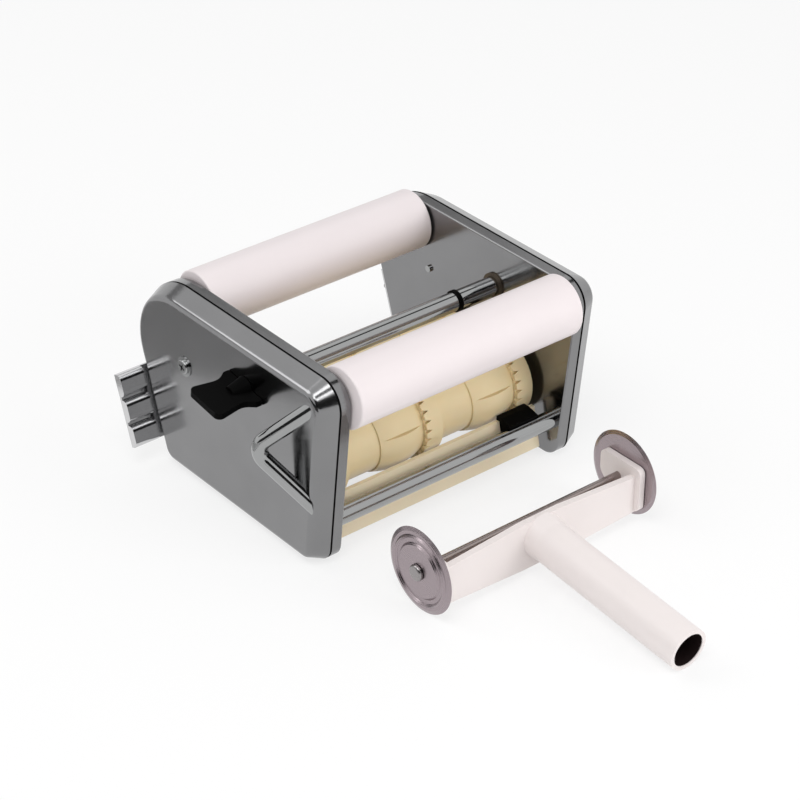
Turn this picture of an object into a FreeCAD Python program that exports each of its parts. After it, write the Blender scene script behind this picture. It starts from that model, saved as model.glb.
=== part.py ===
import FreeCAD
import Part
import math
import os
import re
import Sketcher
from FreeCAD import Placement, Rotation, Vector

# Dough forming roller unit with its twin-wheel cutter, in millimetres.
# X runs along the rollers, +Y to the back, +Z up from the table.

END_HOUSING = {
    "gap": 165,
    "height": 123,
    "front_top": 80.5,
    "front_bottom": 67.5,
    "back_top": 122,
    "back_bottom": 79.5,
    "front_top_round": 16,
    "front_bottom_round": 12,
    "back_top_round": 42,
    "back_bottom_round": 13,
    "frame_depth": 7,
    "frame_plate": 2.5,
    "frame_rim": 2.2,
    "frame_round": 1,
    "seam_width": 1.4,
    "seam_inset": 0.7,
    "cover_depth": 11.6,
    "cover_wall": 1.8,
    "cover_rim": 7,
    "cover_draw": 5.5,
    "cover_round": 4,
}

FITS = {
    "running_fit": 0.06,
    "slip_fit": 0.05,
    "end_play": 0.4,
}

COVER_SCREW = {
    "screw_y": 52.5,
    "screw_drop": 43.5,
    "screw_radius": 2.2,
    "screw_head": 4.6,
    "screw_head_height": 1.6,
    "screw_end": 1.5,
    "washer_radius": 6.3,
    "washer_thick": 0.7,
}

GUIDE_ROLLER = {
    "guide_y": 68.1,
    "guide_drop": 14.5,
    "guide_radius": 18.9,
    "guide_wall": 2.4,
    "guide_edge": 1,
    "guide_play": 1,
    "plug_length": 9,
    "axle_radius": 4,
    "axle_end": 2.2,
    "axle_clip_rim": 2.4,
    "axle_clip_thick": 1,
}

FORMING_ROLLER = {
    "forming_y": 25.2,
    "forming_z": 42.5,
    "forming_length": 156,
    "band_pitch": 70,
    "frill_radius": 24.8,
    "frill_width": 12,
    "frill_count": 26,
    "frill_cut": 4,
    "frill_depth": 2.4,
    "neck_radius": 20.5,
    "neck_width": 26,
    "pillow_peak": 26.6,
    "pillow_bend": 44,
    "pillow_foot": 21.5,
    "pillow_count": 5,
    "crimp_width": 3.4,
    "crimp_depth": 2.6,
    "shaft_radius": 6,
    "socket_radius": 3.6,
    "socket_depth": 7,
    "socket_reach": 8,
    "socket_clearance": 1.4,
    "shaft_end": 1.5,
    "bush_radius": 8,
    "bush_flange": 10,
    "bush_end": 0.6,
}

GEAR_PAIR = {
    "gear_teeth": 24,
    "gear_width": 7,
    "gear_backlash": 0.5,
    "gear_root": 1.2,
    "gear_tip": 0.9,
    "gear_foot": 1.22,
    "gear_crest": 0.46,
}

CROSS_BAR = {
    "bar_y": 7.5,
    "bar_drop": 28.8,
    "bar_radius": 6,
    "spindle_radius": 4,
    "bar_bush_radius": 6.5,
    "bar_bush_flange": 8,
    "bar_bush_thick": 1.5,
    "bar_ring_x": 52,
    "bar_ring_width": 2.6,
    "bar_ring_rise": 0.8,
    "knob_gap": 0.3,
    "knob_reach": 29,
    "knob_half": 15,
    "knob_waist": 11.5,
    "knob_foot": 16,
    "knob_foot_thick": 3.5,
    "knob_thick": 4,
    "knob_hub": 7,
    "knob_hub_length": 11,
    "knob_grip": 8,
    "knob_tilt": 8,
}

LOWER_FRAME = {
    "tie_y": 62,
    "tie_z": 25.5,
    "tie_radius": 5.6,
    "tie_screw_radius": 2.2,
    "tie_screw_depth": 10,
    "tie_head_radius": 4.6,
    "tie_head_height": 3,
    "apron_top_y": 52,
    "apron_top_z": 32,
    "apron_low_y": 58,
    "apron_low_z": 6,
    "apron_wall": 2.6,
    "apron_length": 156,
    "peg_radius": 2.2,
    "apron_clip_x": 50,
    "apron_clip_length": 22,
    "apron_clip_hook": 2.8,
    "apron_clip_wall": 1.8,
}

SIDE_HANDLE = {
    "handle_y": 60.2,
    "handle_z": 74.9,
    "handle_span": 53.4,
    "handle_out": 17,
    "handle_back": 24.2,
    "handle_radius": 4.8,
    "handle_bend": 9,
    "handle_beyond": 0.4,
}

HOST_CLIP = {
    "host_low": 14.7,
    "host_long": 46.5,
    "host_wall": 2,
    "host_reach": 18,
    "host_rib": 4.2,
    "host_rib_round": 3.8,
    "host_lobe": 14.1,
    "host_gap": 1,
    "rivet_radius": 2.2,
    "rivet_head": 1.3,
}

CUTTER = {
    "cutter_y": 132,
    "wheel_radius": 26.3,
    "wheel_span": 154,
    "wheel_half": 1,
    "wheel_bevel": 2.4,
    "wheel_bead": 20.8,
    "wheel_bead_half": 1.2,
    "wheel_step": 16,
    "wheel_step_height": 1.3,
    "cutter_axle": 2.6,
    "cap_radius": 5,
    "cap_height": 2.2,
    "cheek_thick": 4,
    "cheek_front": 18,
    "cheek_back": 15,
    "cheek_low": 9,
    "cheek_top": 38,
    "web_front": 10,
    "web_thick": 4,
    "web_low": 8,
    "web_middle": 5,
    "web_top": 32,
    "grip_radius": 12.8,
    "grip_bore": 10.4,
    "grip_bore_depth": 104,
    "grip_length": 119.5,
    "grip_tilt": 5.2,
    "grip_root": 14,
    "grip_root_length": 10,
}

SECTIONS = [
    END_HOUSING, FITS, COVER_SCREW, GUIDE_ROLLER, FORMING_ROLLER, GEAR_PAIR,
    CROSS_BAR, LOWER_FRAME, SIDE_HANDLE, HOST_CLIP, CUTTER,
]

LEFT = -1
RIGHT = 1
FRONT = -1
REAR = 1
SIDES = {LEFT: "left", RIGHT: "right"}
ROWS = {FRONT: "front", REAR: "rear"}

# Levels along X that several pieces share
INNER = "gap / 2"
PLATE = "gap / 2 + frame_plate"
RIM = "gap / 2 + frame_depth"
COVER = "gap / 2 + frame_depth + seam_width"
OUTER = "gap / 2 + frame_depth + seam_width + cover_depth"
SCREW_Z = "height - screw_drop"
GUIDE_Z = "height - guide_drop"
BAR_Z = "height - bar_drop"

doc = FreeCAD.newDocument("dough_forming_unit")
sheet = doc.addObject("Spreadsheet::Sheet", "Sizes")
nodes = []


def fill_sheet():
    row = 0
    for section in SECTIONS:
        for name, number in section.items():
            row += 1
            sheet.set(f"A{row}", name)
            sheet.set(f"B{row}", str(number))
            sheet.setAlias(f"B{row}", name)
    doc.recompute()


# Formulas: plain words stand for the cells of the sheet
SIZE_WORD = re.compile(r"\b[a-z]\w*\b(?!\()")


def cells(formula):
    return SIZE_WORD.sub(lambda word: "Sizes." + word.group(), formula)


def value(formula):
    return float(sheet.evalExpression(cells(formula)))


def tie(thing, **formulas):
    for path, formula in formulas.items():
        thing.setExpression(path.replace("__", "."), cells(formula))


def on_side(side, formula):
    return f"{side} * ({formula})"


# Sketches, bodies and features

def new_body(label, y="0", z="0", axis=None, angle=None):
    piece = doc.addObject("PartDesign::Body", label)
    piece.Label = label
    if axis is not None:
        piece.Placement = Placement(Vector(), Rotation(axis, 1))
        tie(piece, Placement__Rotation__Angle=angle)
    tie(piece, Placement__Base__y=y, Placement__Base__z=z)
    return piece


def origin_of(piece, role):
    return next(feature for feature in piece.Origin.OriginFeatures if feature.Role == role)


def new_sketch(piece, plane, offset="0"):
    drawing = piece.newObject("Sketcher::SketchObject", "Outline")
    drawing.AttachmentSupport = (origin_of(piece, plane), [""])
    drawing.MapMode = "FlatFace"
    tie(drawing, AttachmentOffset__Base__z=offset)
    return drawing


def hold_point(drawing, shape, spot, u, v):
    for kind, formula in (("DistanceX", u), ("DistanceY", v)):
        rule = Sketcher.Constraint(kind, -1, 1, shape, spot, value(formula))
        drawing.setExpression(f"Constraints[{drawing.addConstraint(rule)}]", cells(formula))


def hold_radius(drawing, shape, formula):
    rule = Sketcher.Constraint("Radius", shape, value(formula))
    drawing.setExpression(f"Constraints[{drawing.addConstraint(rule)}]", cells(formula))


def add_circle(drawing, radius, u="0", v="0"):
    centre = Vector(value(u), value(v), 0)
    shape = drawing.addGeometry(Part.Circle(centre, Vector(0, 0, 1), value(radius)))
    hold_point(drawing, shape, 3, u, v)
    hold_radius(drawing, shape, radius)


class Corner:
    """One corner of a traced line, with its round worked out from its two neighbours."""

    def __init__(self, u, v, bend=None):
        self.u = u
        self.v = v
        self.bend = bend
        self.point = Vector(value(u), value(v), 0)
        self.entry = self.point
        self.exit = self.point
        self.middle = None

    def soften(self, before, after):
        back = (before.point - self.point).normalize()
        ahead = (after.point - self.point).normalize()
        half = back.getAngle(ahead) / 2
        radius = value(self.bend)
        reach = radius / math.tan(half)
        self.entry = self.point + back * reach
        self.exit = self.point + ahead * reach
        inward = (back + ahead).normalize()
        centre = self.point + inward * (reach ** 2 + radius ** 2) ** 0.5
        self.middle = centre - inward * radius


def trace(drawing, corners, closed=True):
    corners = [Corner(*corner) for corner in corners]
    count = len(corners)
    for place, corner in enumerate(corners):
        if corner.bend is not None:
            corner.soften(corners[place - 1], corners[(place + 1) % count])
    lines = []
    for place in range(count if closed else count - 1):
        start = corners[place].exit
        end = corners[(place + 1) % count].entry
        lines.append(drawing.addGeometry(Part.LineSegment(start, end)))
    for place, corner in enumerate(corners):
        if not closed and place == 0:
            hold_point(drawing, lines[0], 1, corner.u, corner.v)
        elif not closed and place == count - 1:
            hold_point(drawing, lines[-1], 2, corner.u, corner.v)
        elif corner.bend is None:
            rule = Sketcher.Constraint("Coincident", lines[place - 1], 2, lines[place], 1)
            drawing.addConstraint(rule)
            hold_point(drawing, lines[place], 1, corner.u, corner.v)
        else:
            add_round(drawing, corner, lines[place - 1], lines[place])


def add_round(drawing, corner, before, after):
    arc = drawing.addGeometry(Part.Arc(corner.entry, corner.middle, corner.exit))
    first_is_entry = drawing.getPoint(arc, 1).distanceToPoint(corner.entry) < corner.entry.distanceToPoint(
        drawing.getPoint(arc, 2))
    entry, leave = (1, 2) if first_is_entry else (2, 1)
    tip = drawing.addGeometry(Part.Point(corner.point), True)
    drawing.addConstraint(Sketcher.Constraint("Tangent", before, 2, arc, entry))
    drawing.addConstraint(Sketcher.Constraint("Tangent", after, 1, arc, leave))
    drawing.addConstraint(Sketcher.Constraint("PointOnObject", tip, 1, before))
    drawing.addConstraint(Sketcher.Constraint("PointOnObject", tip, 1, after))
    hold_point(drawing, tip, 1, corner.u, corner.v)
    hold_radius(drawing, arc, corner.bend)


def new_feature(piece, kind, drawing=None, back=False, symmetric=False, **formulas):
    feature = piece.newObject("PartDesign::" + kind, kind)
    if drawing is not None:
        feature.Profile = drawing
    if back:
        feature.Reversed = True
    if symmetric:
        feature.SideType = "Symmetric"
    tie(feature, **formulas)
    return feature


def cut_through(piece, drawing, back=False, symmetric=False):
    feature = new_feature(piece, "Pocket", drawing, back, symmetric)
    feature.Type = "ThroughAll"
    return feature


def turn(piece, corners):
    drawing = new_sketch(piece, "XY_Plane")
    trace(drawing, corners)
    feature = new_feature(piece, "Revolution", drawing)
    feature.ReferenceAxis = (drawing, ["H_Axis"])
    return feature


def ring_pattern(piece, feature, count):
    pattern = new_feature(piece, "PolarPattern", Occurrences=count)
    pattern.Originals = [feature]
    pattern.Axis = (origin_of(piece, "X_Axis"), [""])
    piece.Tip = pattern
    return pattern


def round_edges(piece, feature, radius, chosen):
    doc.recompute()
    names = [f"Edge{place}" for place, edge in enumerate(feature.Shape.Edges, 1) if chosen(edge)]
    rounding = new_feature(piece, "Fillet", Radius=radius)
    rounding.Base = (feature, names)
    return rounding


def keep(piece):
    nodes.append(piece)
    return piece


def turned(label, corners, y, z):
    piece = new_body(label, y, z)
    turn(piece, corners)
    return piece


def group(label, pieces):
    together = doc.addObject("Part::Compound", label)
    together.Label = label
    together.Links = pieces
    return keep(together)


def tube_corners(start, end, bore, radius, edge=None):
    return [(start, bore), (start, radius, edge), (end, radius, edge), (end, bore)]


# End housings: inner frame, black seam and rounded outer cover

FRONT_LEAN = "(front_top - front_bottom) / height"
BACK_LEAN = "(back_top - back_bottom) / height"


def draw_outline(drawing, inset="0"):
    low = f"({inset})"
    top = f"(height - ({inset}))"

    def front(level):
        drawn_in = f"({inset}) * sqrt(1 + ({FRONT_LEAN})^2)"
        return f"-front_bottom - {FRONT_LEAN} * {level} + {drawn_in}"

    def back(level):
        drawn_in = f"({inset}) * sqrt(1 + ({BACK_LEAN})^2)"
        return f"back_bottom + {BACK_LEAN} * {level} - {drawn_in}"

    trace(drawing, [
        (front(low), low, f"front_bottom_round - ({inset})"),
        (back(low), low, f"back_bottom_round - ({inset})"),
        (back(top), top, f"back_top_round - ({inset})"),
        (front(top), top, f"front_top_round - ({inset})"),
    ])


def drill(piece, side, holes):
    drawing = new_sketch(piece, "YZ_Plane")
    for y, z, radius in holes:
        add_circle(drawing, radius, y, z)
    cut_through(piece, drawing, back=side == RIGHT)


def apron_peg(row):
    return on_side(row, "(apron_top_y + apron_low_y - apron_wall) / 2"), "(apron_top_z + apron_low_z) / 2"


def frame_holes():
    holes = [("-bar_y", BAR_Z, "bar_bush_radius"), ("screw_y", SCREW_Z, "screw_radius + slip_fit")]
    for row in ROWS:
        holes.append((on_side(row, "guide_y"), GUIDE_Z, "axle_radius + slip_fit"))
        holes.append((on_side(row, "forming_y"), "forming_z", "bush_radius"))
        holes.append((on_side(row, "tie_y"), "tie_z", "tie_screw_radius + slip_fit"))
        holes.append((*apron_peg(row), "peg_radius + slip_fit"))
    return holes


def build_frame(side):
    piece = new_body(f"{SIDES[side]}_frame")
    drawing = new_sketch(piece, "YZ_Plane", on_side(side, INNER))
    draw_outline(drawing)
    block = new_feature(piece, "Pad", drawing, back=side == LEFT, Length="frame_depth")
    inner_face = side * value(INNER)
    round_edges(piece, block, "frame_round", lambda edge: abs(edge.CenterOfMass.x - inner_face) < 0.01)
    drawing = new_sketch(piece, "YZ_Plane", on_side(side, RIM))
    draw_outline(drawing, "frame_rim")
    new_feature(piece, "Pocket", drawing, back=side == LEFT, Length="frame_depth - frame_plate")
    drill(piece, side, frame_holes())
    keep(piece)


def build_seam(side):
    piece = new_body(f"{SIDES[side]}_seam")
    drawing = new_sketch(piece, "YZ_Plane", on_side(side, RIM))
    draw_outline(drawing, "seam_inset")
    draw_outline(drawing, "frame_rim")
    new_feature(piece, "Pad", drawing, back=side == LEFT, Length="seam_width")
    keep(piece)


def cover_holes(side):
    holes = [("screw_y", SCREW_Z, "screw_radius + slip_fit")]
    if side == LEFT:
        holes.append(("-bar_y", BAR_Z, "spindle_radius + running_fit"))
    else:
        holes.append(("-forming_y", "forming_z", "shaft_radius + socket_clearance"))
    return holes


def build_cover(side):
    piece = new_body(f"{SIDES[side]}_cover")
    drawing = new_sketch(piece, "YZ_Plane", on_side(side, COVER))
    draw_outline(drawing)
    shell = new_feature(piece, "Pad", drawing, back=side == LEFT, Length="cover_depth",
                        TaperAngle="-atan(cover_draw / cover_depth)")
    outer_face = side * value(OUTER)
    round_edges(piece, shell, "cover_round", lambda edge: abs(edge.CenterOfMass.x - outer_face) < 0.01)
    drawing = new_sketch(piece, "YZ_Plane", on_side(side, COVER))
    draw_outline(drawing, "cover_rim")
    new_feature(piece, "Pocket", drawing, back=side == RIGHT, Length="cover_depth - cover_wall")
    drill(piece, side, cover_holes(side))
    keep(piece)


def build_cover_screws():
    screws = []
    washers = []
    for side, name in SIDES.items():
        seat = on_side(side, f"{OUTER} + washer_thick")
        top = on_side(side, f"{OUTER} + washer_thick + screw_head_height")
        tip = on_side(side, f"{INNER} - screw_end")
        screws.append(turned(f"{name}_screw", [
            (tip, "0"),
            (tip, "screw_radius"),
            (seat, "screw_radius"),
            (seat, "screw_head"),
            (top, "screw_head", "screw_head_height * 0.6"),
            (top, "0"),
        ], "screw_y", SCREW_Z))
        washers.append(turned(f"{name}_washer", tube_corners(
            on_side(side, OUTER), seat, "screw_radius + slip_fit", "washer_radius"), "screw_y", SCREW_Z))
    group("cover_screws", screws)
    group("screw_washers", washers)


# White guide rollers on fixed axles

GUIDE_END = "gap / 2 - guide_play"
GUIDE_BORE = "guide_radius - guide_wall"
AXLE_TIP = "gap / 2 + frame_plate + axle_end"


def build_guide_roller(row):
    name = ROWS[row]
    y = on_side(row, "guide_y")
    keep(turned(f"{name}_guide_roller", tube_corners(
        f"-({GUIDE_END})", GUIDE_END, GUIDE_BORE, "guide_radius", "guide_edge"), y, GUIDE_Z))
    group(f"{name}_guide_plugs", [
        turned(f"{name}_{hand}_plug", tube_corners(
            on_side(side, f"{GUIDE_END} - plug_length"), on_side(side, GUIDE_END),
            "axle_radius + running_fit", GUIDE_BORE), y, GUIDE_Z)
        for side, hand in SIDES.items()
    ])
    keep(turned(f"{name}_guide_axle", tube_corners(
        f"-({AXLE_TIP})", AXLE_TIP, "0", "axle_radius"), y, GUIDE_Z))


def build_axle_clips():
    group("axle_clips", [
        turned(f"{ROWS[row]}_{hand}_axle_clip", tube_corners(
            on_side(side, PLATE), on_side(side, f"{PLATE} + axle_clip_thick"),
            "axle_radius", "axle_radius + axle_clip_rim"), on_side(row, "guide_y"), GUIDE_Z)
        for row in ROWS for side, hand in SIDES.items()
    ])


# Cream forming rollers: necks, swelling pillow bands with crimps, and frilled rings

FORMING_END = "forming_length / 2"
SHAFT_BORE = "shaft_radius + slip_fit"
BUSH_FACE = "forming_length / 2 + end_play"
GEAR_FACE = "gap / 2 + frame_plate + bush_end + end_play"
SOCKET_MOUTH = f"{OUTER} + socket_reach"
BANDS = range(2)


def band_end(band):
    return f"({FORMING_END} - {band} * band_pitch)"


def forming_corners():
    corners = [(f"-{FORMING_END}", SHAFT_BORE), (f"-{FORMING_END}", "frill_radius")]
    for band in reversed(BANDS):
        end = band_end(band)
        last_frill = f"{end} - band_pitch"
        pillow = f"{last_frill} + neck_width"
        frill = f"{end} - frill_width"
        corners += [
            (last_frill, "frill_radius"),
            (last_frill, "neck_radius"),
            (pillow, "neck_radius"),
            (pillow, "pillow_foot"),
            (f"({pillow} + {frill}) / 2", "pillow_peak", "pillow_bend"),
            (frill, "pillow_foot"),
            (frill, "frill_radius"),
        ]
    return corners + [(FORMING_END, "frill_radius"), (FORMING_END, SHAFT_BORE)]


def cut_frills(piece, edge):
    drawing = new_sketch(piece, "XY_Plane", "frill_radius - frill_depth")
    trace(drawing, [
        (f"{edge} - frill_depth", "-frill_cut / 2"),
        (f"{edge} + frill_cut", "0"),
        (f"{edge} - frill_depth", "frill_cut / 2"),
    ])
    notch = new_feature(piece, "Pocket", drawing, back=True, Length="frill_depth * 2")
    return ring_pattern(piece, notch, "frill_count")


def cut_crimps(piece, band):
    frill = f"{band_end(band)} - frill_width"
    length = "band_pitch - neck_width - frill_width"
    drawing = new_sketch(piece, "YZ_Plane", frill)
    trace(drawing, [
        ("-crimp_width / 2", "pillow_peak"),
        ("0", "frill_radius - crimp_depth"),
        ("crimp_width / 2", "pillow_peak"),
    ])
    groove = new_feature(piece, "Pocket", drawing, Length=length)
    return ring_pattern(piece, groove, "pillow_count")


def build_forming_roller(row):
    piece = new_body(f"{ROWS[row]}_forming_roller", on_side(row, "forming_y"), "forming_z")
    turn(piece, forming_corners())
    for band in BANDS:
        cut_crimps(piece, band)
        cut_frills(piece, f"{band_end(band)} - frill_width")
    keep(piece)


def build_forming_shaft(row):
    gear_end = f"-({GEAR_FACE} + gear_width + shaft_end)"
    corners = [(gear_end, "0"), (gear_end, "shaft_radius")]
    if row == FRONT:
        floor = f"{SOCKET_MOUTH} - socket_depth"
        corners += [
            (SOCKET_MOUTH, "shaft_radius"),
            (SOCKET_MOUTH, "socket_radius"),
            (floor, "socket_radius"),
            (floor, "0"),
        ]
    else:
        tip = f"{PLATE} + bush_end + shaft_end"
        corners += [(tip, "shaft_radius"), (tip, "0")]
    keep(turned(f"{ROWS[row]}_forming_shaft", corners, on_side(row, "forming_y"), "forming_z"))


def build_forming_bushes():
    bushes = []
    for row, name in ROWS.items():
        for side, hand in SIDES.items():
            start = on_side(side, BUSH_FACE)
            seat = on_side(side, INNER)
            end = on_side(side, f"{PLATE} + bush_end")
            bushes.append(turned(f"{name}_{hand}_bush", [
                (start, "shaft_radius + running_fit"),
                (start, "bush_flange"),
                (seat, "bush_flange"),
                (seat, "bush_radius"),
                (end, "bush_radius"),
                (end, "shaft_radius + running_fit"),
            ], on_side(row, "forming_y"), "forming_z"))
    group("forming_bushes", bushes)


# Gear pair: straight-flanked teeth on the pitch circle where the rollers meet

MODULE = "(2 * forming_y / gear_teeth)"


def build_gear(row):
    turned_by = "0" if row == FRONT else "180 / gear_teeth"
    piece = new_body(f"{ROWS[row]}_gear", on_side(row, "forming_y"), "forming_z", Vector(1, 0, 0), turned_by)
    root = f"(forming_y - gear_root * {MODULE})"
    tip = f"(forming_y + gear_tip * {MODULE})"
    foot = f"(gear_foot * {MODULE} - gear_backlash / 2)"
    crest = f"(gear_crest * {MODULE} - gear_backlash / 2)"
    drawing = new_sketch(piece, "YZ_Plane", f"-({GEAR_FACE})")
    add_circle(drawing, root)
    add_circle(drawing, SHAFT_BORE)
    new_feature(piece, "Pad", drawing, back=True, Length="gear_width")
    drawing = new_sketch(piece, "YZ_Plane", f"-({GEAR_FACE})")
    trace(drawing, [
        (f"{root} - {MODULE} / 2", f"-{foot}"),
        (root, f"-{foot}"),
        (tip, f"-{crest}"),
        (tip, crest),
        (root, foot),
        (f"{root} - {MODULE} / 2", foot),
    ])
    tooth = new_feature(piece, "Pad", drawing, back=True, Length="gear_width")
    ring_pattern(piece, tooth, "gear_teeth")
    keep(piece)


# Cross bar with its black ring and wing knob

BAR_SHOULDER = "gap / 2 - bar_bush_thick - end_play"
KNOB_SEAT = f"({OUTER} + knob_gap)"


def build_cross_bar():
    far = f"-({KNOB_SEAT} + knob_grip)"
    tip = f"{PLATE} + axle_end"
    keep(turned("release_bar", [
        (far, "0"),
        (far, "spindle_radius"),
        (f"-({BAR_SHOULDER})", "spindle_radius"),
        (f"-({BAR_SHOULDER})", "bar_radius"),
        (BAR_SHOULDER, "bar_radius"),
        (BAR_SHOULDER, "spindle_radius"),
        (tip, "spindle_radius"),
        (tip, "0"),
    ], "-bar_y", BAR_Z))
    keep(turned("bar_ring", tube_corners(
        "bar_ring_x - bar_ring_width / 2", "bar_ring_x + bar_ring_width / 2",
        "bar_radius", "bar_radius + bar_ring_rise"), "-bar_y", BAR_Z))
    bushes = []
    for side, hand in SIDES.items():
        start = on_side(side, f"{INNER} - bar_bush_thick")
        seat = on_side(side, INNER)
        end = on_side(side, PLATE)
        bushes.append(turned(f"{hand}_bar_bush", [
            (start, "spindle_radius + running_fit"),
            (start, "bar_bush_flange"),
            (seat, "bar_bush_flange"),
            (seat, "bar_bush_radius"),
            (end, "bar_bush_radius"),
            (end, "spindle_radius + running_fit"),
        ], "-bar_y", BAR_Z))
    group("bar_bushes", bushes)


def build_wing_knob():
    piece = new_body("wing_knob", "-bar_y", BAR_Z, Vector(1, 0, 0), "knob_tilt")
    seat = f"-{KNOB_SEAT}"
    hub_end = f"-({KNOB_SEAT} + knob_hub_length)"
    turn(piece, [(seat, "0"), (seat, "knob_hub"), (hub_end, "knob_hub * 0.6"), (hub_end, "0")])
    foot = f"-({KNOB_SEAT} + knob_foot_thick)"
    waist = f"-({KNOB_SEAT} + knob_reach / 3)"
    edge = f"-({KNOB_SEAT} + knob_reach)"
    drawing = new_sketch(piece, "XY_Plane")
    trace(drawing, [
        (seat, "-knob_foot"),
        (seat, "knob_foot"),
        (foot, "knob_foot"),
        (waist, "knob_waist", "knob_reach / 3"),
        (edge, "knob_half", "knob_half / 4"),
        (edge, "-knob_half", "knob_half / 4"),
        (waist, "-knob_waist", "knob_reach / 3"),
        (foot, "-knob_foot"),
    ])
    new_feature(piece, "Pad", drawing, symmetric=True, Length="knob_thick")
    drawing = new_sketch(piece, "YZ_Plane", seat)
    add_circle(drawing, "spindle_radius + slip_fit")
    new_feature(piece, "Pocket", drawing, Length="knob_grip")
    keep(piece)


# Lower frame: tie rods, aprons and the black clips between them

TIE_BORE = "tie_screw_radius + slip_fit"


def build_tie_rod(row):
    floor = f"{INNER} - tie_screw_depth"
    keep(turned(f"{ROWS[row]}_tie_rod", [
        (f"-({INNER})", TIE_BORE),
        (f"-({INNER})", "tie_radius"),
        (INNER, "tie_radius"),
        (INNER, TIE_BORE),
        (floor, TIE_BORE),
        (floor, "0"),
        (f"-({floor})", "0"),
        (f"-({floor})", TIE_BORE),
    ], on_side(row, "tie_y"), "tie_z"))


def build_tie_rod_screws():
    screws = []
    for row, name in ROWS.items():
        for side, hand in SIDES.items():
            tip = on_side(side, f"{INNER} - tie_screw_depth + end_play")
            seat = on_side(side, PLATE)
            top = on_side(side, f"{PLATE} + tie_head_height")
            screws.append(turned(f"{name}_{hand}_tie_screw", [
                (tip, "0"),
                (tip, "tie_screw_radius"),
                (seat, "tie_screw_radius"),
                (seat, "tie_head_radius"),
                (top, "tie_head_radius"),
                (top, "0"),
            ], on_side(row, "tie_y"), "tie_z"))
    group("tie_rod_screws", screws)


def build_apron(row):
    piece = new_body(f"{ROWS[row]}_apron")
    drawing = new_sketch(piece, "YZ_Plane", "-apron_length / 2")
    trace(drawing, [
        (on_side(row, "apron_top_y"), "apron_top_z"),
        (on_side(row, "apron_low_y"), "apron_low_z"),
        (on_side(row, "apron_low_y - apron_wall"), "apron_low_z"),
        (on_side(row, "apron_top_y - apron_wall"), "apron_top_z"),
    ])
    new_feature(piece, "Pad", drawing, Length="apron_length")
    for side in SIDES:
        drawing = new_sketch(piece, "YZ_Plane", on_side(side, "apron_length / 2 - peg_radius"))
        add_circle(drawing, "peg_radius", *apron_peg(row))
        new_feature(piece, "Pad", drawing, back=side == LEFT,
                    Length=f"{PLATE} - apron_length / 2 + peg_radius")
    keep(piece)


def build_apron_clip(row):
    slope = "(apron_low_y - apron_top_y) / (apron_top_z - apron_low_z)"
    foot_z = "(tie_z - tie_radius / 2)"
    foot_y = f"apron_top_y + {slope} * (apron_top_z - {foot_z})"
    hook_z = "apron_top_z + apron_clip_hook"
    piece = new_body(f"{ROWS[row]}_apron_clip")
    drawing = new_sketch(piece, "YZ_Plane", "apron_clip_x")
    trace(drawing, [
        (on_side(row, "apron_top_y - apron_wall"), "apron_top_z"),
        (on_side(row, "apron_top_y - apron_wall"), hook_z),
        (on_side(row, "apron_top_y + apron_clip_wall"), hook_z),
        (on_side(row, "tie_y"), "tie_z + tie_radius + apron_clip_wall"),
        (on_side(row, "tie_y"), "tie_z"),
        (on_side(row, foot_y), foot_z),
        (on_side(row, "apron_top_y"), "apron_top_z"),
    ])
    new_feature(piece, "Pad", drawing, Length="apron_clip_length")
    drawing = new_sketch(piece, "YZ_Plane")
    add_circle(drawing, "tie_radius + slip_fit", on_side(row, "tie_y"), "tie_z")
    cut_through(piece, drawing, back=True)
    return piece


# Bent rod handle on the left cover, trimmed to sit on the cover's face

def build_side_handle():
    rise = "sqrt(handle_out^2 + handle_back^2)"
    bar = new_body("handle_rod", "-handle_y", "handle_z", Vector(0, 0, 1), f"acos(-handle_out / {rise})")
    tie(bar, Placement__Base__x=f"-({OUTER})")
    path = new_sketch(bar, "XZ_Plane")
    trace(path, [
        (f"-handle_beyond * {rise}", f"handle_span / 2 * (1 + handle_beyond)"),
        (rise, "0", "handle_bend"),
        (f"-handle_beyond * {rise}", f"-handle_span / 2 * (1 + handle_beyond)"),
    ], closed=False)
    doc.recompute()
    section = bar.newObject("Sketcher::SketchObject", "Section")
    section.AttachmentSupport = (path, ["Edge1"])
    section.MapMode = "NormalToEdge"
    add_circle(section, "handle_radius")
    pipe = new_feature(bar, "AdditivePipe", section)
    pipe.Spine = (path, ["Edge1", "Edge2", "Edge3"])
    trim = doc.addObject("Part::Box", "handle_trim")
    tie(trim, Length="handle_span", Width="handle_span * 2", Height="handle_span * 2")
    tie(trim, Placement__Base__x=f"-({OUTER})", Placement__Base__y="-handle_y - handle_span",
        Placement__Base__z="handle_z - handle_span")
    handle = doc.addObject("Part::Cut", "side_handle")
    handle.Label = "side_handle"
    handle.Base = bar
    handle.Tool = trim
    keep(handle)


# Ribbed host clips along the back edge of the end housings

LOBES = 3
RIVETS = ("host_low + host_long / 4", "host_low + host_long * 3 / 4")


def back_edge_body(label):
    return new_body(label, "back_bottom", "0", Vector(-1, 0, 0), f"atan({BACK_LEAN})")


def add_clip_block(piece, side, start, corners):
    drawing = new_sketch(piece, "YZ_Plane", on_side(side, start))
    trace(drawing, corners)
    return new_feature(piece, "Pad", drawing, back=side == LEFT, Length=f"{OUTER} + host_reach - ({start})")


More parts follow.
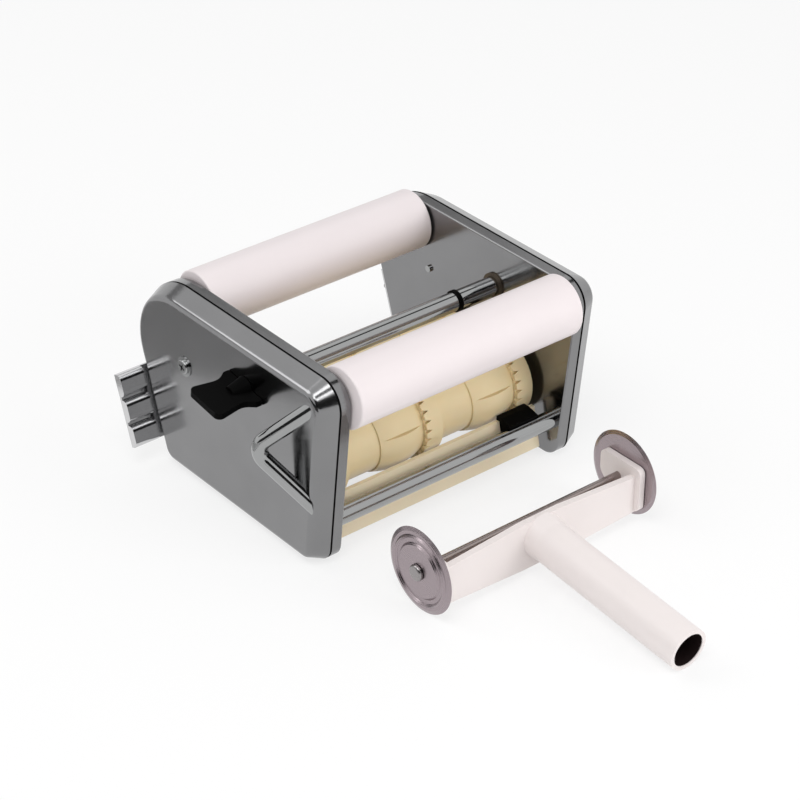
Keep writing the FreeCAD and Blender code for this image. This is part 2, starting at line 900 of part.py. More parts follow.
def build_host_clip(side):
    piece = back_edge_body(f"{SIDES[side]}_host_clip")
    add_clip_block(piece, side, f"{INNER} + host_gap", [
        ("0", "host_low"),
        ("host_wall", "host_low"),
        ("host_wall", "host_low + host_long"),
        ("0", "host_low + host_long"),
    ])
    lobe = add_clip_block(piece, side, f"{OUTER} + host_gap", [
        ("-host_rib", "host_low", "host_rib_round"),
        ("host_wall / 2", "host_low"),
        ("host_wall / 2", "host_low + host_lobe"),
        ("-host_rib", "host_low + host_lobe", "host_rib_round"),
    ])
    lobes = new_feature(piece, "LinearPattern", Length="host_long - host_lobe")
    lobes.Originals = [lobe]
    lobes.Direction = (origin_of(piece, "Z_Axis"), [""])
    lobes.Occurrences = LOBES
    piece.Tip = lobes
    keep(piece)


def build_clip_rivets():
    rivets = []
    for side, hand in SIDES.items():
        for place, level in enumerate(RIVETS):
            piece = back_edge_body(f"{hand}_rivet_{place}")
            drawing = new_sketch(piece, "XZ_Plane", "-host_wall")
            add_circle(drawing, "rivet_radius", on_side(side, f"{INNER} + frame_depth / 2"), level)
            new_feature(piece, "Pad", drawing, back=True, Length="rivet_head")
            rivets.append(piece)
    group("clip_rivets", rivets)


# Twin-wheel cutter lying in front: bracket with its hollow grip, axle, wheels and caps

CHEEK_OUTER = "wheel_span / 2 - wheel_half - end_play"
CHEEK_INNER = f"{CHEEK_OUTER} - cheek_thick"
WHEEL_FACE = "wheel_span / 2 + wheel_half"
AXLE_END = f"{WHEEL_FACE} + wheel_step_height + end_play"
GRIP_ROOT_Z = "grip_radius * cos(grip_tilt) + grip_length * sin(grip_tilt)"


def grip_sketch(piece, along):
    drawing = new_sketch(piece, "XZ_Plane", f"web_front + web_thick / 2 + ({along}) * cos(grip_tilt)")
    drawing.AttachmentOffset = Placement(Vector(), Rotation(Vector(1, 0, 0), 1))
    tie(drawing, AttachmentOffset__Base__y=f"{GRIP_ROOT_Z} - ({along}) * sin(grip_tilt)",
        AttachmentOffset__Rotation__Angle="grip_tilt")
    return drawing


def build_cutter_frame():
    piece = new_body("cutter_frame", "-cutter_y")
    drawing = new_sketch(piece, "XZ_Plane", "web_front")
    outer = f"({CHEEK_OUTER})"
    trace(drawing, [
        (f"-{outer}", "web_low"),
        ("-grip_root", "web_middle"),
        ("grip_root", "web_middle"),
        (outer, "web_low"),
        (outer, "web_top"),
        ("grip_root", f"{GRIP_ROOT_Z} + grip_radius"),
        ("-grip_root", f"{GRIP_ROOT_Z} + grip_radius"),
        (f"-{outer}", "web_top"),
    ])
    new_feature(piece, "Pad", drawing, Length="web_thick")
    for side in SIDES:
        drawing = new_sketch(piece, "YZ_Plane", on_side(side, CHEEK_INNER))
        trace(drawing, [
            ("-cheek_front", "cheek_low", "cheek_thick"),
            ("0", "cheek_low", "cheek_back"),
            ("cheek_back", "cheek_top - cheek_back", "cheek_back / 2"),
            ("cheek_back", "cheek_top", "cheek_thick"),
            ("-cheek_front", "cheek_top", "cheek_thick"),
        ])
        new_feature(piece, "Pad", drawing, back=side == LEFT, Length="cheek_thick")
    drawing = grip_sketch(piece, "0")
    add_circle(drawing, "grip_root")
    new_feature(piece, "Pad", drawing, Length="grip_root_length",
                TaperAngle="-atan((grip_root - grip_radius) / grip_root_length)")
    drawing = grip_sketch(piece, "0")
    add_circle(drawing, "grip_radius")
    new_feature(piece, "Pad", drawing, Length="grip_length")
    drawing = grip_sketch(piece, "grip_length")
    add_circle(drawing, "grip_bore")
    new_feature(piece, "Pocket", drawing, Length="grip_bore_depth")
    drawing = new_sketch(piece, "YZ_Plane")
    add_circle(drawing, "cutter_axle + slip_fit", "0", "wheel_radius")
    cut_through(piece, drawing, symmetric=True)
    keep(piece)


def build_cutter_wheel(side):
    inner = on_side(side, "wheel_span / 2 - wheel_half")
    middle = on_side(side, "wheel_span / 2")
    face = on_side(side, WHEEL_FACE)
    step = on_side(side, f"{WHEEL_FACE} + wheel_step_height")
    bead = on_side(side, f"{WHEEL_FACE} + wheel_bead_half")
    bore = "cutter_axle + running_fit"
    keep(turned(f"{SIDES[side]}_cutter_wheel", [
        (inner, bore),
        (inner, "wheel_radius - wheel_bevel"),
        (middle, "wheel_radius"),
        (face, "wheel_radius - wheel_bevel"),
        (face, "wheel_bead + wheel_bead_half"),
        (bead, "wheel_bead"),
        (face, "wheel_bead - wheel_bead_half"),
        (face, "wheel_step + wheel_step_height"),
        (step, "wheel_step"),
        (step, bore),
    ], "-cutter_y", "wheel_radius"))


def build_cutter_axle():
    keep(turned("cutter_axle", tube_corners(
        f"-({AXLE_END})", AXLE_END, "0", "cutter_axle"), "-cutter_y", "wheel_radius"))
    group("wheel_caps", [
        turned(f"{hand}_wheel_cap", [
            (on_side(side, AXLE_END), "0"),
            (on_side(side, AXLE_END), "cap_radius"),
            (on_side(side, f"{AXLE_END} + cap_height"), "cap_radius", "cap_height * 0.7"),
            (on_side(side, f"{AXLE_END} + cap_height"), "0"),
        ], "-cutter_y", "wheel_radius")
        for side, hand in SIDES.items()
    ])


def build_all():
    fill_sheet()
    for side in SIDES:
        build_frame(side)
        build_seam(side)
        build_cover(side)
        build_host_clip(side)
        build_cutter_wheel(side)
    build_cover_screws()
    for row in ROWS:
        build_guide_roller(row)
        build_forming_roller(row)
        build_forming_shaft(row)
        build_gear(row)
        build_tie_rod(row)
        build_apron(row)
    build_axle_clips()
    build_forming_bushes()
    build_cross_bar()
    build_wing_knob()
    build_tie_rod_screws()
    group("apron_clips", [build_apron_clip(row) for row in ROWS])
    build_side_handle()
    build_clip_rivets()
    build_cutter_frame()
    build_cutter_axle()
    doc.recompute()


def write_nodes():
    for thing in doc.Objects:
        if {"Invalid", "Error"} & set(thing.State):
            raise RuntimeError(f"{thing.Label} did not build: {thing.State}")
    os.makedirs("parts", exist_ok=True)
    for piece in nodes:
        if piece.Shape.isNull() or not piece.Shape.isValid():
            raise RuntimeError(f"{piece.Label} has no valid shape")
        piece.Shape.exportStep(f"parts/{piece.Label}.step")


build_all()
write_nodes()
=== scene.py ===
"""Dresses and lights a hand dough forming unit and its twin-wheel cutter."""
import logging
import math
from dataclasses import dataclass, field
from enum import Enum
from typing import Any, Dict, List, Optional, Sequence, Tuple

import bmesh
import bpy
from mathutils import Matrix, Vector


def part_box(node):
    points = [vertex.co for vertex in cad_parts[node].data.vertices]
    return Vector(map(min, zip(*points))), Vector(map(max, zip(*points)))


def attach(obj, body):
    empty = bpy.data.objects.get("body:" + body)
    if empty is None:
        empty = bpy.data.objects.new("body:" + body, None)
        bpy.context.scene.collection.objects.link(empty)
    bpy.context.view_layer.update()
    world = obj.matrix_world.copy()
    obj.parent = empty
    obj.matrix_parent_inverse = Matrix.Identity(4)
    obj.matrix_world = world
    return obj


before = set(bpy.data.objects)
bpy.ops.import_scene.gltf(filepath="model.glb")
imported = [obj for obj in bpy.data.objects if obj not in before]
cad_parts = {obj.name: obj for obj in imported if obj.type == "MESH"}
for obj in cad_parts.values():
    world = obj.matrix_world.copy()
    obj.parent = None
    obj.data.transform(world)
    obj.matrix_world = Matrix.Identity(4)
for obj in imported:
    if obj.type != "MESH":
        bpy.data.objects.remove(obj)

LOG = logging.getLogger("dough_unit")
MM = 0.001
# Rings that the wave texture draws in one unit at scale 1
RINGS_PER_UNIT = 10 / math.pi
EDGE_SEGMENTS = 2
EDGE_ANGLE_DEG = 38
Colour = Tuple[float, float, float, float]
Place = Tuple[float, float, float]


class Body(str, Enum):
    """The rigid bodies that the pieces ride on."""

    FRAME = "machine_frame"
    CUTTER = "cutter"


def linear(code: str) -> Colour:
    """Turns an sRGB hex colour to linear.

    Args:
        code: colour such as "#8f8f90".

    Returns:
        Linear red, green, blue and an alpha of 1.
    """
    parts = [int(code[place:place + 2], 16) / 255 for place in (1, 3, 5)]
    flat = [part / 12.92 if part <= 0.04045 else ((part + 0.055) / 1.055) ** 2.4 for part in parts]
    return (flat[0], flat[1], flat[2], 1.0)


def add_node(tree: bpy.types.NodeTree, kind: str, links: Optional[Dict[Any, Any]] = None,
             **settings: Any) -> bpy.types.Node:
    """Adds one shader node with its settings and incoming links.

    Args:
        tree: node tree that takes the node.
        kind: Blender's node type.
        links: input name or index to the output socket or the value that goes in.
        settings: node attributes to set.

    Returns:
        The new node.
    """
    node = tree.nodes.new(kind)
    for name, setting in settings.items():
        setattr(node, name, setting)
    for name, source in (links or {}).items():
        if isinstance(source, bpy.types.NodeSocket):
            tree.links.new(source, node.inputs[name])
        else:
            node.inputs[name].default_value = source
    return node


@dataclass(frozen=True)
class Finish:
    """A surface: its colour, gloss and the marks that making it left."""

    name: str
    colour: str
    metallic: float
    roughness: float
    spread: float
    grain_mm: Tuple[float, float, float]
    relief: float
    tint: float = 0.04
    coat: float = 0.0
    subsurface: float = 0.0
    specular: float = 0.5
    grain_detail: float = 3.0
    grain_roughness: float = 0.55
    grain_span: Tuple[float, float] = (0.25, 0.75)
    cloud_mm: float = 25.0
    cloud_detail: float = 2.0
    relief_mm: float = 0.05
    scatter_mm: float = 1.5

    def pattern(self, tree: bpy.types.NodeTree) -> bpy.types.NodeSocket:
        """Draws the surface's fine marks, with their sizes in millimetres along X, Y and Z.

        Args:
            tree: node tree of the material.

        Returns:
            Socket with values from 0 to 1.
        """
        place = add_node(tree, "ShaderNodeTexCoord")
        scale = tuple(1 / (size * MM) for size in self.grain_mm)
        spread = add_node(tree, "ShaderNodeMapping", {"Vector": place.outputs["Object"], "Scale": scale})
        noise = add_node(tree, "ShaderNodeTexNoise", {
            "Vector": spread.outputs["Vector"], "Scale": 1.0, "Detail": self.grain_detail,
            "Roughness": self.grain_roughness})
        return noise.outputs["Fac"]

    def clouds(self, tree: bpy.types.NodeTree) -> bpy.types.NodeSocket:
        """Draws the slow unevenness of the surface.

        Args:
            tree: node tree of the material.

        Returns:
            Socket with values from 0 to 1.
        """
        place = add_node(tree, "ShaderNodeTexCoord")
        noise = add_node(tree, "ShaderNodeTexNoise", {
            "Vector": place.outputs["Object"], "Scale": 1 / (self.cloud_mm * MM),
            "Detail": self.cloud_detail})
        return noise.outputs["Fac"]

    def material(self) -> bpy.types.Material:
        """Builds the material, or gives it back if it is there.

        Returns:
            The finished material.
        """
        made = bpy.data.materials.get(self.name)
        if made is not None:
            return made
        made = bpy.data.materials.new(self.name)
        made.use_nodes = True
        tree = made.node_tree
        shader = tree.nodes["Principled BSDF"]
        marks = self.pattern(tree)
        slow = self.clouds(tree)
        base = linear(self.colour)
        dark = tuple(part * (1 - 2 * self.tint) for part in base[:3]) + (1.0,)
        tone = add_node(tree, "ShaderNodeMix", {0: slow, 6: dark, 7: base}, data_type="RGBA")
        tree.links.new(tone.outputs[2], shader.inputs["Base Color"])
        gloss = add_node(tree, "ShaderNodeMapRange", {
            "Value": marks, "From Min": self.grain_span[0], "From Max": self.grain_span[1],
            "To Min": self.roughness - self.spread, "To Max": self.roughness + self.spread})
        tree.links.new(gloss.outputs["Result"], shader.inputs["Roughness"])
        bump = add_node(tree, "ShaderNodeBump", {
            "Height": marks, "Strength": self.relief, "Distance": self.relief_mm * MM})
        tree.links.new(bump.outputs["Normal"], shader.inputs["Normal"])
        shader.inputs["Metallic"].default_value = self.metallic
        shader.inputs["Specular IOR Level"].default_value = self.specular
        shader.inputs["Coat Weight"].default_value = self.coat
        shader.inputs["Subsurface Weight"].default_value = self.subsurface
        shader.inputs["Subsurface Scale"].default_value = self.scatter_mm * MM
        return made


@dataclass(frozen=True)
class TurnedFinish(Finish):
    """A lathe-turned face whose marks run round an axis along X."""

    ring_mm: float = 0.9
    ring_waver: float = 1.2
    ring_detail: float = 2.0
    centre_mm: Place = (0.0, 0.0, 0.0)

    def pattern(self, tree: bpy.types.NodeTree) -> bpy.types.NodeSocket:
        """Draws the turning rings round the piece's own axis.

        Args:
            tree: node tree of the material.

        Returns:
            Socket with values from 0 to 1.
        """
        place = add_node(tree, "ShaderNodeTexCoord")
        offset = tuple(-part * MM for part in self.centre_mm)
        moved = add_node(tree, "ShaderNodeMapping", {"Vector": place.outputs["Object"], "Location": offset})
        rings = add_node(tree, "ShaderNodeTexWave", {
            "Vector": moved.outputs["Vector"], "Scale": 1 / (RINGS_PER_UNIT * self.ring_mm * MM),
            "Distortion": self.ring_waver, "Detail": self.ring_detail},
            wave_type="RINGS", rings_direction="X")
        return rings.outputs["Fac"]


# Deep-drawn stainless sheet, polished: long faint polishing lines, a soft mirror
POLISHED_SHEET = Finish(
    "polished_stainless_sheet", "#8c8c8d", metallic=1.0, roughness=0.17, spread=0.04,
    grain_mm=(3.0, 40.0, 0.5), relief=0.05, tint=0.07)
# Chromed round bar: near mirror, with faint drawing lines along its length
CHROMED_BAR = Finish(
    "chromed_bar", "#a2a3a3", metallic=1.0, roughness=0.10, spread=0.03,
    grain_mm=(60.0, 0.6, 0.6), relief=0.04)
# Pressed steel clip, ribbed: brighter and harder than the sheet
PRESSED_CLIP = Finish(
    "pressed_bright_steel", "#d2d2d3", metallic=1.0, roughness=0.14, spread=0.04,
    grain_mm=(20.0, 1.0, 1.0), relief=0.06)
# Extruded polypropylene tube: satin, a pinkish white, its finest grain drawn at 0.7 mm to show
WHITE_PLASTIC = Finish(
    "white_polypropylene", "#ece3e4", metallic=0.0, roughness=0.42, spread=0.06,
    grain_mm=(0.7, 0.7, 0.7), relief=0.10, tint=0.02, coat=0.05)
# Moulded polypropylene bracket: the tube's satin in a warmer white, its grain at 0.7 mm to show
BRACKET_PLASTIC = Finish(
    "white_bracket", "#eee6e4", metallic=0.0, roughness=0.42, spread=0.06,
    grain_mm=(0.7, 0.7, 0.7), relief=0.10, tint=0.02, coat=0.05)
# Moulded acetal rollers: cream, waxy, slightly translucent
CREAM_PLASTIC = Finish(
    "cream_acetal", "#f2deb2", metallic=0.0, roughness=0.36, spread=0.07,
    grain_mm=(0.9, 0.9, 0.9), relief=0.12, tint=0.05, coat=0.08, subsurface=0.12)
# Moulded acetal aprons: the rollers' plastic, thinner, and painted paler: painted light that offsets the
# tie rods' shadow on them
LIGHTENED_APRON_PLASTIC = Finish(
    "cream_apron_painted_light", "#f6e7c8", metallic=0.0, roughness=0.40, spread=0.06,
    grain_mm=(0.9, 0.9, 0.9), relief=0.10, tint=0.04, coat=0.05, subsurface=0.10)
# Moulded ABS knob and clips: black, with a spark-eroded grain drawn at 0.6 mm to show
BLACK_PLASTIC = Finish(
    "black_abs", "#060606", metallic=0.0, roughness=0.42, spread=0.08,
    grain_mm=(0.6, 0.6, 0.6), relief=0.2, tint=0.10, specular=0.03)
# Moulded rubber sealing frame: black and dull; the same black is the painted shade in the cover screws'
# drive recesses
SEAL_RUBBER_AND_DRIVE_SHADE = Finish(
    "black_seal_rubber_and_drive_shade", "#0a0a0a", metallic=0.0, roughness=0.7, spread=0.06,
    grain_mm=(0.8, 0.8, 0.8), relief=0.2, tint=0.10, specular=0.1)
# Ground steel shafts and small turned parts: a soft shine with fine marks round them
GROUND_STEEL = Finish(
    "ground_steel", "#9c9898", metallic=1.0, roughness=0.26, spread=0.05,
    grain_mm=(1.4, 9.0, 9.0), relief=0.02)
# Drawn wire axle: fine lines along its length, a little brown from handling
DRAWN_WIRE = Finish(
    "drawn_wire", "#a09592", metallic=1.0, roughness=0.24, spread=0.04,
    grain_mm=(40.0, 0.8, 0.8), relief=0.03)
# Sintered bronze bearing bushes: porous, dull
SINTERED_BRONZE = Finish(
    "sintered_bronze", "#6a6054", metallic=1.0, roughness=0.5, spread=0.08,
    grain_mm=(0.5, 0.5, 0.5), relief=0.25, tint=0.12)
# Moulded natural nylon gears: off-white, satin
NATURAL_NYLON = Finish(
    "natural_nylon", "#d9d2c0", metallic=0.0, roughness=0.5, spread=0.06,
    grain_mm=(0.8, 0.8, 0.8), relief=0.12)
# Turned steel cutting wheels: a warm grey with fine rings round the hub
TURNED_WHEEL = TurnedFinish(
    "turned_wheel_steel", "#a69a9e", metallic=1.0, roughness=0.30, spread=0.08,
    grain_mm=(1.0, 1.0, 1.0), relief=0.12, centre_mm=(0.0, -132.0, 26.3))
# Painted shade for the inside of the grip's bore: a matt near black sleeve that stands in for the bore's
# shadow
BORE_PAINTED_SHADE = Finish(
    "bore_painted_shade", "#241a1a", metallic=0.0, roughness=0.7, spread=0.05,
    grain_mm=(1.2, 1.2, 1.2), relief=0.2, specular=0.1)


def dress(nodes: Sequence[str], finish: Finish, edge_mm: float = 0.0) -> None:
    """Gives CAD nodes their finish and breaks their sharp edges.

    Args:
        nodes: names of the CAD nodes.
        finish: surface that they get.
        edge_mm: width of the broken edge, or 0 for none.
    """
    for name in nodes:
        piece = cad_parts[name]
        piece.data.materials.clear()
        piece.data.materials.append(finish.material())
        if edge_mm > 0:
            bevel = piece.modifiers.new("broken_edge", "BEVEL")
            bevel.width = edge_mm * MM
            bevel.segments = EDGE_SEGMENTS
            bevel.limit_method = "ANGLE"
            bevel.angle_limit = math.radians(EDGE_ANGLE_DEG)
        LOG.info("dressed %s in %s", name, finish.name)


def add_object(name: str, mesh: bmesh.types.BMesh, material: bpy.types.Material) -> bpy.types.Object:
    """Makes a dressed object of a mesh.

    Args:
        name: name of the object.
        mesh: its mesh, which is used up.
        material: its only material.

    Returns:
        The new object.
    """
    data = bpy.data.meshes.new(name)
    mesh.to_mesh(data)
    mesh.free()
    data.materials.append(material)
    made = bpy.data.objects.new(name, data)
    bpy.context.collection.objects.link(made)
    return made


def add_piece(name: str, mesh: bmesh.types.BMesh, finish: Finish, body: Body) -> None:
    """Makes a piece of a mesh and sets it riding on a body.

    Args:
        name: name of the piece.
        mesh: its mesh, in the frame of the CAD.
        finish: its surface.
        body: rigid body that carries it.
    """
    piece = add_object(name, mesh, finish.material())
    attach(piece, body.value)
    LOG.info("built %s", name)


@dataclass
class Assembly:
    """A group of pieces that is built and dressed together."""

    def build(self) -> None:
        """Adds nothing, for a group whose pieces are all in the CAD."""

    def dress(self) -> None:
        """Gives the pieces their finishes."""
        raise NotImplementedError


@dataclass
class EndHousings(Assembly):
    """The two polished end housings with their seams, screws, clips and handle."""

    drive_mm: float = 5.2
    drive_width_mm: float = 1.1
    drive_lift_mm: float = 0.06
    drive_thick_mm: float = 0.3
    drive_taper: float = 0.6
    drive_turn_deg: float = 20.0
    frame_edge_mm: float = 0.25
    clip_edge_mm: float = 0.9
    screw_edge_mm: float = 0.25
    rivet_edge_mm: float = 0.5
    covers: List[str] = field(default_factory=lambda: ["left_cover", "right_cover"])
    frames: List[str] = field(default_factory=lambda: ["left_frame", "right_frame"])
    seams: List[str] = field(default_factory=lambda: ["left_seam", "right_seam"])
    clips: List[str] = field(default_factory=lambda: ["left_host_clip", "right_host_clip"])

    def cross(self) -> List[Tuple[float, float]]:
        """Traces a cross whose arms narrow to their tips.

        Returns:
            Its corners in metres, as pairs along Y and Z.
        """
        half = self.drive_mm * MM / 2
        root = self.drive_width_mm * MM / 2
        tip = root * self.drive_taper
        corners = []
        for quarter in range(4):
            turn = math.radians(self.drive_turn_deg + 90 * quarter)
            for along, across in ((half, -tip), (half, tip), (root, root)):
                corners.append((along * math.cos(turn) - across * math.sin(turn),
                                along * math.sin(turn) + across * math.cos(turn)))
        return corners

    def build(self) -> None:
        """Sets a thin near-black cross on the head of each cover screw, painted shade that stands in for
        the shadow in its drive recess.
        """
        low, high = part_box("cover_screws")
        middle = (low + high) / 2
        for name, side, edge in (("left_screw_drive_shade", -1, low.x), ("right_screw_drive_shade", 1, high.x)):
            mesh = bmesh.new()
            top = edge + side * self.drive_lift_mm * MM
            rim = [mesh.verts.new((top, middle.y + y, middle.z + z)) for y, z in self.cross()]
            face = mesh.faces.new(rim)
            sunk = bmesh.ops.extrude_face_region(mesh, geom=[face])["geom"]
            moved = [part for part in sunk if isinstance(part, bmesh.types.BMVert)]
            bmesh.ops.translate(mesh, verts=moved, vec=(-side * self.drive_thick_mm * MM, 0, 0))
            bmesh.ops.recalc_face_normals(mesh, faces=mesh.faces)
            # Painted shade: the black cross stands in for the shadow in the screw's drive recess
            add_piece(name, mesh, SEAL_RUBBER_AND_DRIVE_SHADE, Body.FRAME)

    def dress(self) -> None:
        """Polishes the metal and blackens the seams."""
        dress(self.covers, POLISHED_SHEET)
        dress(self.frames, POLISHED_SHEET, self.frame_edge_mm)
        dress(self.seams, SEAL_RUBBER_AND_DRIVE_SHADE)
        dress(self.clips, PRESSED_CLIP, self.clip_edge_mm)
        dress(["cover_screws", "screw_washers"], CHROMED_BAR, self.screw_edge_mm)
        dress(["clip_rivets"], GROUND_STEEL, self.rivet_edge_mm)
        dress(["side_handle"], CHROMED_BAR)


@dataclass
class Rollers(Assembly):
    """Guide rollers, forming rollers and what turns in them."""

    guide_edge_mm: float = 0.3
    forming_edge_mm: float = 0.35
    steel_edge_mm: float = 0.2
    guide: List[str] = field(default_factory=lambda: [
        "front_guide_roller", "rear_guide_roller", "front_guide_plugs", "rear_guide_plugs"])
    forming: List[str] = field(default_factory=lambda: ["front_forming_roller", "rear_forming_roller"])
    steel: List[str] = field(default_factory=lambda: [
        "front_guide_axle", "rear_guide_axle", "front_forming_shaft", "rear_forming_shaft", "axle_clips"])

    def dress(self) -> None:
        """Gives the rollers their plastics and the shafts their ground steel."""
        dress(self.guide, WHITE_PLASTIC, self.guide_edge_mm)
        dress(self.forming, CREAM_PLASTIC, self.forming_edge_mm)
        dress(self.steel, GROUND_STEEL, self.steel_edge_mm)
        dress(["forming_bushes", "bar_bushes"], SINTERED_BRONZE, self.steel_edge_mm)
        dress(["front_gear", "rear_gear"], NATURAL_NYLON)


@dataclass
class CrossMembers(Assembly):
    """Cross bar with its wing knob, tie rods, aprons and their clips."""

    steel_edge_mm: float = 0.2
    black_edge_mm: float = 0.5
    apron_edge_mm: float = 0.4
    bars: List[str] = field(default_factory=lambda: ["release_bar", "front_tie_rod", "rear_tie_rod"])
    black: List[str] = field(default_factory=lambda: ["wing_knob", "bar_ring", "apron_clips"])

    def dress(self) -> None:
        """Chromes the bars and gives the plastics their grain."""
        dress(self.bars, CHROMED_BAR, self.steel_edge_mm)
        dress(self.black, BLACK_PLASTIC, self.black_edge_mm)
        # Painted light: the aprons' paler cream offsets the shadow that the tie rods cast on them
        dress(["front_apron", "rear_apron"], LIGHTENED_APRON_PLASTIC, self.apron_edge_mm)
        dress(["tie_rod_screws"], GROUND_STEEL, self.steel_edge_mm)


@dataclass
class Cutter(Assembly):
    """The separate twin-wheel cutter with its hollow grip."""

    tilt_deg: float = 5.2
    grip_mm: float = 12.8
    bore_mm: float = 10.4
    shade_sleeve_inset_mm: float = 0.15
    shade_sleeve_length_mm: float = 100.0
    mouth_mm: float = 0.5
    sides: int = 64
    bracket_edge_mm: float = 0.9
    steel_edge_mm: float = 0.2

    def build(self) -> None:
        """Lines the grip's bore with a near-black sleeve of painted shade that stops short of its mouth."""
        low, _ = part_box("cutter_frame")
        tilt = math.radians(self.tilt_deg)
        outer = self.grip_mm * MM
        radius = (self.bore_mm - self.shade_sleeve_inset_mm) * MM
        along = Vector((0.0, -math.cos(tilt), -math.sin(tilt)))
        up = Vector((0.0, -math.sin(tilt), math.cos(tilt)))
        end = Vector((0.0, low.y + outer * math.sin(tilt), outer * math.cos(tilt)))
        mesh = bmesh.new()
        rings = []
        for reach in (self.mouth_mm, self.shade_sleeve_length_mm):
            centre = end - along * reach * MM
            ring = []
            for step in range(self.sides):
                turn = 2 * math.pi * step / self.sides
                spot = centre + Vector((radius * math.cos(turn), 0, 0)) + up * radius * math.sin(turn)
                ring.append(mesh.verts.new(spot))
            rings.append(ring)
        for step in range(self.sides):
            after = (step + 1) % self.sides
            face = mesh.faces.new((rings[0][step], rings[1][step], rings[1][after], rings[0][after]))
            face.smooth = True
        mesh.faces.new(rings[1])
        bmesh.ops.recalc_face_normals(mesh, faces=mesh.faces)
        bmesh.ops.reverse_faces(mesh, faces=mesh.faces)
        # Painted shade: a near-black sleeve that stands in for the shadow inside the bore
        add_piece("grip_bore_painted_shade", mesh, BORE_PAINTED_SHADE, Body.CUTTER)

    def dress(self) -> None:
        """Gives the bracket its plastic and the wheels their turned steel."""
        dress(["cutter_frame"], BRACKET_PLASTIC, self.bracket_edge_mm)
        dress(["left_cutter_wheel", "right_cutter_wheel"], TURNED_WHEEL, self.steel_edge_mm)
        dress(["cutter_axle"], DRAWN_WIRE)
        dress(["wheel_caps"], GROUND_STEEL, self.steel_edge_mm)


@dataclass(frozen=True)
class Lamp:
    """A soft square area lamp, with its place and side in metres and its power in watts."""

    name: str
    place: Place
    side: float
    power: float
    mirrored: bool = True
    aim: Place = (0.0, -0.05, 0.05)

    def build(self) -> None:
        """Hangs the lamp and points it at the object."""
        data = bpy.data.lights.new(self.name, "AREA")
        data.size = self.side
        data.energy = self.power
        lamp = bpy.data.objects.new(self.name, data)
        lamp.location = self.place
        lamp.visible_glossy = self.mirrored
        lamp.rotation_euler = (Vector(self.aim) - Vector(self.place)).to_track_quat("-Z", "Y").to_euler()
        bpy.context.collection.objects.link(lamp)


@dataclass(frozen=True)
class Card:
    """A grey card that shows only in reflections, with its place, length and width in metres."""

    name: str
    place: Place
    length: float
    width: float
    colour: str
    aim: Place = (0.0, 0.0, 0.05)

    def build(self) -> None:
        """Hangs the card, facing the object."""
        mesh = bmesh.new()
        bmesh.ops.create_grid(mesh, x_segments=1, y_segments=1, size=self.length / 2)
        bmesh.ops.scale(mesh, verts=mesh.verts, vec=(1.0, self.width / self.length, 1.0))
        paint = bpy.data.materials.new(self.name)
        paint.use_nodes = True
        shader = paint.node_tree.nodes["Principled BSDF"]
        shader.inputs["Base Color"].default_value = linear(self.colour)
        shader.inputs["Roughness"].default_value = 1.0
        board = add_object(self.name, mesh, paint)
        board.location = self.place
        board.rotation_euler = (Vector(self.aim) - Vector(self.place)).to_track_quat("-Z", "Y").to_euler()
        board.visible_camera = False
        board.visible_diffuse = False
        board.visible_shadow = False


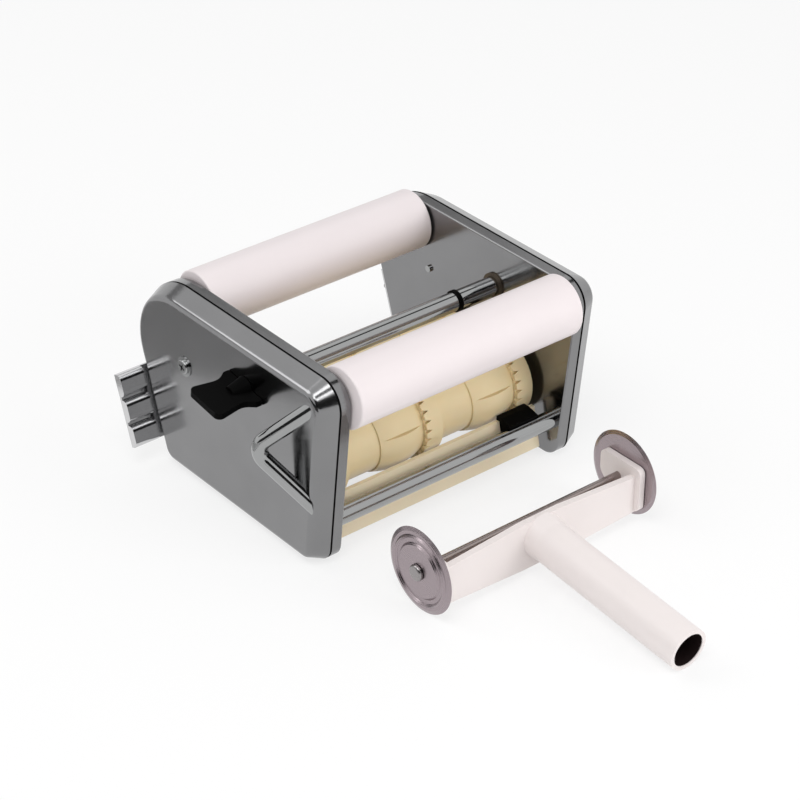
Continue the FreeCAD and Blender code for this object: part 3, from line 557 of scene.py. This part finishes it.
@dataclass
class Studio:
    """Floor, world, lamps, cards and the camera of the photograph."""

    azimuth_deg: float = -38.9
    elevation_deg: float = 31.85
    distance_m: float = 1.5
    target_m: Place = (0.0, 0.0, 0.055)
    lens_mm: float = 113.7
    sensor_mm: float = 36.0
    shift: Tuple[float, float] = (0.02625, -0.0241)
    floor_m: float = 12.0
    floor_drop_m: float = 0.0002
    floor_colour: str = "#fbfbfb"
    floor_roughness: float = 0.9
    floor_specular: float = 0.1
    floor_white: float = 0.74
    white: str = "#ffffff"
    sky_light: float = 0.55
    lamps: Tuple[Lamp, ...] = (
        Lamp("key", (-0.7, -0.5, 1.6), side=0.9, power=10.0),
        Lamp("back", (-0.9, 1.0, 1.4), side=0.9, power=5.0),
        Lamp("front", (0.7, -1.5, 0.7), side=1.0, power=10.0, mirrored=False))
    cards: Tuple[Card, ...] = (
        Card("top_card", (0.1, -0.25, 1.5), length=3.0, width=0.35, colour="#4a4a4a"),
        Card("rear_card", (0.1, 1.4, 0.9), length=3.0, width=0.4, colour="#b4b4b4"),
        Card("front_card", (-0.9, -1.0, 0.7), length=1.6, width=1.0, colour="#101010"),
        Card("rear_left_card", (-0.20, 0.10, 0.03), length=0.36, width=0.07, colour="#dcdcdc"),
        Card("left_card", (-0.55, -0.1, 0.10), length=0.6, width=0.2, colour="#303030"))

    def seen(self, tree: bpy.types.NodeTree) -> bpy.types.NodeSocket:
        """Tells the rays that show the background from those that light the object.

        Args:
            tree: node tree of the floor or the world.

        Returns:
            Socket that is 1 for the eye, for a mirror and through glass, and else 0.
        """
        path = add_node(tree, "ShaderNodeLightPath")
        mirrored = add_node(tree, "ShaderNodeMath", {
            0: path.outputs["Is Camera Ray"], 1: path.outputs["Is Glossy Ray"]}, operation="MAXIMUM")
        through = add_node(tree, "ShaderNodeMath", {
            0: mirrored.outputs[0], 1: path.outputs["Is Transmission Ray"]}, operation="MAXIMUM")
        return through.outputs[0]

    def floor(self) -> None:
        """Lays a plain pale floor that keeps the shadow."""
        mesh = bmesh.new()
        bmesh.ops.create_grid(mesh, x_segments=1, y_segments=1, size=self.floor_m / 2)
        bmesh.ops.translate(mesh, verts=mesh.verts, vec=(0, 0, -self.floor_drop_m))
        paint = bpy.data.materials.new("pale_floor")
        paint.use_nodes = True
        tree = paint.node_tree
        shader = tree.nodes["Principled BSDF"]
        shader.inputs["Base Color"].default_value = linear(self.floor_colour)
        shader.inputs["Roughness"].default_value = self.floor_roughness
        shader.inputs["Specular IOR Level"].default_value = self.floor_specular
        share = add_node(tree, "ShaderNodeMath", {0: self.seen(tree), 1: self.floor_white},
                         operation="MULTIPLY")
        white = add_node(tree, "ShaderNodeEmission", {"Color": linear(self.white), "Strength": 1.0})
        mix = add_node(tree, "ShaderNodeMixShader", {
            0: share.outputs[0], 1: shader.outputs[0], 2: white.outputs[0]})
        tree.links.new(mix.outputs[0], tree.nodes["Material Output"].inputs["Surface"])
        plane = add_object("floor", mesh, paint)

    def world(self) -> None:
        """Lights the scene evenly and shows white to the eye and to metal."""
        sky = bpy.data.worlds.new("studio")
        bpy.context.scene.world = sky
        sky.use_nodes = True
        tree = sky.node_tree
        tree.nodes.clear()
        soft = add_node(tree, "ShaderNodeBackground", {
            "Color": linear(self.white), "Strength": self.sky_light})
        white = add_node(tree, "ShaderNodeBackground", {"Color": linear(self.white), "Strength": 1.0})
        mix = add_node(tree, "ShaderNodeMixShader", {
            0: self.seen(tree), 1: soft.outputs[0], 2: white.outputs[0]})
        add_node(tree, "ShaderNodeOutputWorld", {"Surface": mix.outputs[0]})

    def camera(self) -> None:
        """Sets the camera where the photograph was taken from."""
        azimuth = math.radians(self.azimuth_deg)
        elevation = math.radians(self.elevation_deg)
        away = Vector((math.sin(azimuth) * math.cos(elevation), -math.cos(azimuth) * math.cos(elevation),
                       math.sin(elevation)))
        data = bpy.data.cameras.new("photograph")
        data.lens = self.lens_mm
        data.sensor_width = self.sensor_mm
        data.shift_x, data.shift_y = self.shift
        camera = bpy.data.objects.new("photograph", data)
        camera.location = Vector(self.target_m) + away * self.distance_m
        camera.rotation_euler = (-away).to_track_quat("-Z", "Y").to_euler()
        bpy.context.collection.objects.link(camera)
        bpy.context.scene.camera = camera

    def build(self) -> None:
        """Sets up the whole studio."""
        self.floor()
        self.world()
        for item in (*self.lamps, *self.cards):
            item.build()
        self.camera()
        bpy.context.scene.view_settings.view_transform = "Standard"


def main() -> None:
    """Builds and dresses every sub-assembly, then sets up the studio."""
    logging.basicConfig(level=logging.INFO)
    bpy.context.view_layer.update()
    for assembly in (EndHousings(), Rollers(), CrossMembers(), Cutter()):
        assembly.build()
        assembly.dress()
    Studio().build()


if __name__ == "__main__":
    main()
